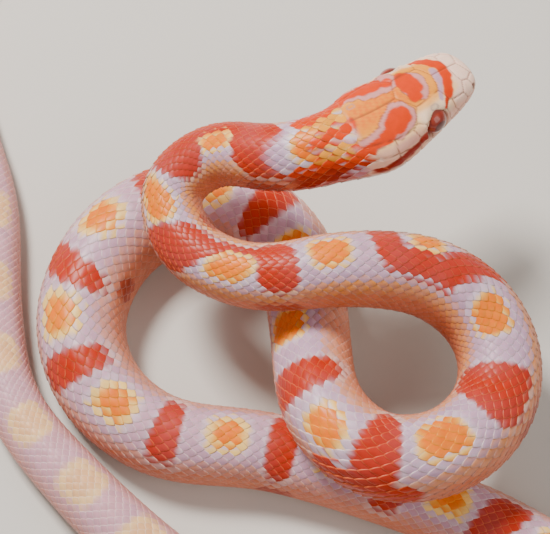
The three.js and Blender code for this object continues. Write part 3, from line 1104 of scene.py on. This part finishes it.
def make_belly(material):
    """Broad plates under the body, each lying over the next, and paired behind the vent."""
    columns = np.linspace(-1, 1, BELLY_ACROSS + 1)
    angle = np.pi + columns * (np.pi - BACK_REACH + BELLY_LAP)
    plate = grid_faces(len(BELLY_ROWS), len(columns), closed=False)
    vertices, faces, colours, spots = [], [], [], []
    s = BEHIND_JAW + 1
    while s < path.length - BELLY_BARE:
        pitch = max(BELLY_PITCH_SHARE * float(half_width(s)), SMALLEST_PITCH)
        parting = BELLY_PARTING * smooth(0.16, 0.0, np.abs(columns)) * (s > VENT)
        base = len(vertices) * len(columns)
        faces += [tuple(base + corner for corner in face) for face in plate]
        for share, height in BELLY_ROWS:
            here = np.full_like(angle, s + share * pitch)
            y, z = section(here, angle)
            lift = 1 + (height - parting) / np.maximum(np.hypot(y, z), 0.3)
            vertices.append(path.place(here, y * lift, z * lift))
            colours.append(colour_at(here, angle)[0])
            spots.append(np.stack([here / path.length, angle / (2 * np.pi) % 1], axis=1))
        s += pitch
    belly = mesh_object("belly_plates", np.vstack(vertices), faces, material)
    put_attribute(belly, "tone", "FLOAT_COLOR", np.vstack(colours))
    put_attribute(belly, "rim_tone", "FLOAT_COLOR", np.vstack(colours))
    put_attribute(belly, "rim", "FLOAT", np.zeros(len(belly.data.vertices)))
    layer = belly.data.uv_layers.new(name="OFBake")
    corners = np.zeros(len(belly.data.loops), int)
    belly.data.loops.foreach_get("vertex_index", corners)
    layer.data.foreach_set("uv", np.vstack(spots)[corners].ravel())
    return belly


EYE_RINGS = 40
EYE_SIDES = 48
EYE_FIT = 0.97
PUPIL_EDGE = (32, 27)  # degrees from the middle of the eye
IRIS_EDGE = (62, 74)


def eye_colour(off, turn):
    """Colour of an eye at these degrees from its middle and this turn round it."""
    streak = 0.5 + 0.5 * math.sin(turn * 23 + 2 * math.sin(turn * 7))
    colour = blend(linear(IRIS), linear(IRIS_STREAK), 0.4 * streak)
    colour = blend(colour, linear(PUPIL), smooth(*PUPIL_EDGE, off))
    return blend(colour, linear(SHADOW), 0.7 * smooth(*IRIS_EDGE, off))


def make_eye(side, node, material):
    """The eyeball of one side, in the place of its solid."""
    low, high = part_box(node)
    centre = np.array((Vector(low) + Vector(high)) / 2)
    outward = path.at(EYE["s"], path.left) * side
    forward = -path.at(EYE["s"], path.tail)
    up = path.at(EYE["s"], path.back)
    vertices, colours = [], []
    for i in range(EYE_RINGS + 1):
        polar = math.pi * i / EYE_RINGS
        for j in range(EYE_SIDES):
            turn = 2 * math.pi * j / EYE_SIDES
            round_it = forward * math.cos(turn) + up * math.sin(turn)
            direction = outward * math.cos(polar) + round_it * math.sin(polar)
            vertices.append(centre + direction * EYE["radius"] * MM * EYE_FIT)
            colours.append(eye_colour(math.degrees(polar), turn))
    eye = mesh_object(node + "_ball", vertices, grid_faces(EYE_RINGS + 1, EYE_SIDES), material)
    put_attribute(eye, "tone", "FLOAT_COLOR", np.array(colours))
    return eye


def tidy_mesh(thing):
    """Merges doubled points at the poles and turns every face outwards."""
    work = bmesh.new()
    work.from_mesh(thing.data)
    bmesh.ops.remove_doubles(work, verts=work.verts, dist=1e-7)
    bmesh.ops.recalc_face_normals(work, faces=work.faces)
    work.to_mesh(thing.data)
    work.free()


GRAIN_SCALE = 900
GRAIN_SHADES = (0.86, 1.12)
SKIN_ROUGHNESS = 0.4
SCALE_ROUGHNESS = 0.33
GLOSS = 0.18
GLOW = 0.12  # share of the light that passes under the skin, redder the farther it goes
GLOW_RADIUS = (1.0, 0.35, 0.2)
GLOW_SCALE = 0.0006
EYE_ROUGHNESS = 0.3
EYE_COAT = 0.7
EYE_COAT_ROUGHNESS = 0.05


def new_material(name):
    material = bpy.data.materials.new(name)
    material.use_nodes = True
    shader = material.node_tree.nodes["Principled BSDF"]
    return material, material.node_tree, shader


def attribute_node(tree, name):
    node = tree.nodes.new("ShaderNodeAttribute")
    node.attribute_name = name
    return node


def skin_material(name, roughness, with_rim):
    """Skin in the tones of its points, with a fine grain, and with rims where it is of scales."""
    material, tree, shader = new_material(name)
    tone = attribute_node(tree, "tone")
    coordinates = tree.nodes.new("ShaderNodeTexCoord")
    noise = tree.nodes.new("ShaderNodeTexNoise")
    noise.inputs["Scale"].default_value = GRAIN_SCALE
    noise.inputs["Detail"].default_value = 3
    tree.links.new(coordinates.outputs["Object"], noise.inputs["Vector"])
    ramp = tree.nodes.new("ShaderNodeMapRange")
    ramp.inputs["To Min"].default_value = GRAIN_SHADES[0]
    ramp.inputs["To Max"].default_value = GRAIN_SHADES[1]
    tree.links.new(noise.outputs["Fac"], ramp.inputs["Value"])
    shade = tree.nodes.new("ShaderNodeVectorMath")
    shade.operation = "SCALE"
    tree.links.new(tone.outputs["Color"], shade.inputs[0])
    tree.links.new(ramp.outputs["Result"], shade.inputs["Scale"])
    colour = shade.outputs["Vector"]
    if with_rim:
        mix = tree.nodes.new("ShaderNodeMix")
        mix.data_type = "RGBA"
        tree.links.new(attribute_node(tree, "rim").outputs["Fac"], mix.inputs["Factor"])
        tree.links.new(colour, mix.inputs["A"])
        tree.links.new(attribute_node(tree, "rim_tone").outputs["Color"], mix.inputs["B"])
        colour = mix.outputs["Result"]
    tree.links.new(colour, shader.inputs["Base Color"])
    shader.inputs["Roughness"].default_value = roughness
    shader.inputs["Specular IOR Level"].default_value = GLOSS
    shader.inputs["Subsurface Weight"].default_value = GLOW
    shader.inputs["Subsurface Radius"].default_value = GLOW_RADIUS
    shader.inputs["Subsurface Scale"].default_value = GLOW_SCALE
    return material


def eye_material():
    """A wet eye in the tones of its points."""
    material, tree, shader = new_material("eye")
    tree.links.new(attribute_node(tree, "tone").outputs["Color"], shader.inputs["Base Color"])
    shader.inputs["Roughness"].default_value = EYE_ROUGHNESS
    shader.inputs["Coat Weight"].default_value = EYE_COAT
    shader.inputs["Coat Roughness"].default_value = EYE_COAT_ROUGHNESS
    return material


# Camera and studio.
CAMERA_TILT = math.radians(65)
CAMERA_DISTANCE = 0.26
AIM_HEIGHT = 0.02
PHOTO_WIDTH = 550
PHOTO_FOCUS = 1526.2  # focal length in the photo's pixels
SENSOR = 36
FLOOR_SIZE = 4
FLOOR_TONE = (0.62, 0.6, 0.57, 1)
FLOOR_ROUGHNESS = 0.8
DAYLIGHT = (1.0, 0.95, 0.9, 1)
DAYLIGHT_STRENGTH = 0.36
LAMP_TONE = (1.0, 0.95, 0.88)
# Each lamp's name, place, size and power.
LAMPS = (("key", (-0.22, 0.25, 0.5), 0.16, 6.2), ("fill", (0.4, -0.3, 0.45), 0.5, 1.6))


def make_camera():
    data = bpy.data.cameras.new("camera")
    data.sensor_width = SENSOR
    data.lens = SENSOR * PHOTO_FOCUS / PHOTO_WIDTH
    data.clip_start = 0.01
    camera = bpy.data.objects.new("camera", data)
    bpy.context.scene.collection.objects.link(camera)
    aim = Vector((-CENTRE[0] * MM, -CENTRE[1] * MM, AIM_HEIGHT))
    back = Vector((0, -math.cos(CAMERA_TILT), math.sin(CAMERA_TILT)))
    camera.location = aim + back * CAMERA_DISTANCE
    camera.rotation_mode = "QUATERNION"
    camera.rotation_quaternion = (-back).to_track_quat("-Z", "Y")
    bpy.context.scene.camera = camera


def make_studio():
    material, _, shader = new_material("floor")
    shader.inputs["Base Color"].default_value = FLOOR_TONE
    shader.inputs["Roughness"].default_value = FLOOR_ROUGHNESS
    bpy.ops.mesh.primitive_plane_add(size=FLOOR_SIZE)
    floor = bpy.context.object
    floor.name = "floor"
    floor.data.materials.append(material)
    world = bpy.data.worlds.new("world")
    world.use_nodes = True
    sky = world.node_tree.nodes["Background"]
    sky.inputs["Color"].default_value = DAYLIGHT
    sky.inputs["Strength"].default_value = DAYLIGHT_STRENGTH
    bpy.context.scene.world = world
    for name, place, size, power in LAMPS:
        data = bpy.data.lights.new(name, "AREA")
        data.size = size
        data.energy = power
        data.color = LAMP_TONE
        lamp = bpy.data.objects.new(name, data)
        lamp.location = place
        lamp.rotation_euler = (-Vector(place)).to_track_quat("-Z", "Y").to_euler()
        bpy.context.scene.collection.objects.link(lamp)


make_camera()
make_studio()
skin_finish = skin_material("skin", SKIN_ROUGHNESS, with_rim=False)
scale_finish = skin_material("scales", SCALE_ROUGHNESS, with_rim=True)
eye_finish = eye_material()

flesh_nodes = [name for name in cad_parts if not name.startswith("eye")]
skin = make_skin(skin_finish)
tidy_mesh(skin)
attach(skin, "root")
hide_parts(*flesh_nodes)
coat = make_scales(scale_finish)
belly = make_belly(scale_finish)
tidy_mesh(belly)
for piece in [*coat, belly]:
    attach(piece, "root")
for side, node in ((1, "eye_left"), (-1, "eye_right")):
    eye = make_eye(side, node, eye_finish)
    tidy_mesh(eye)
    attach(eye, "root")
    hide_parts(node)
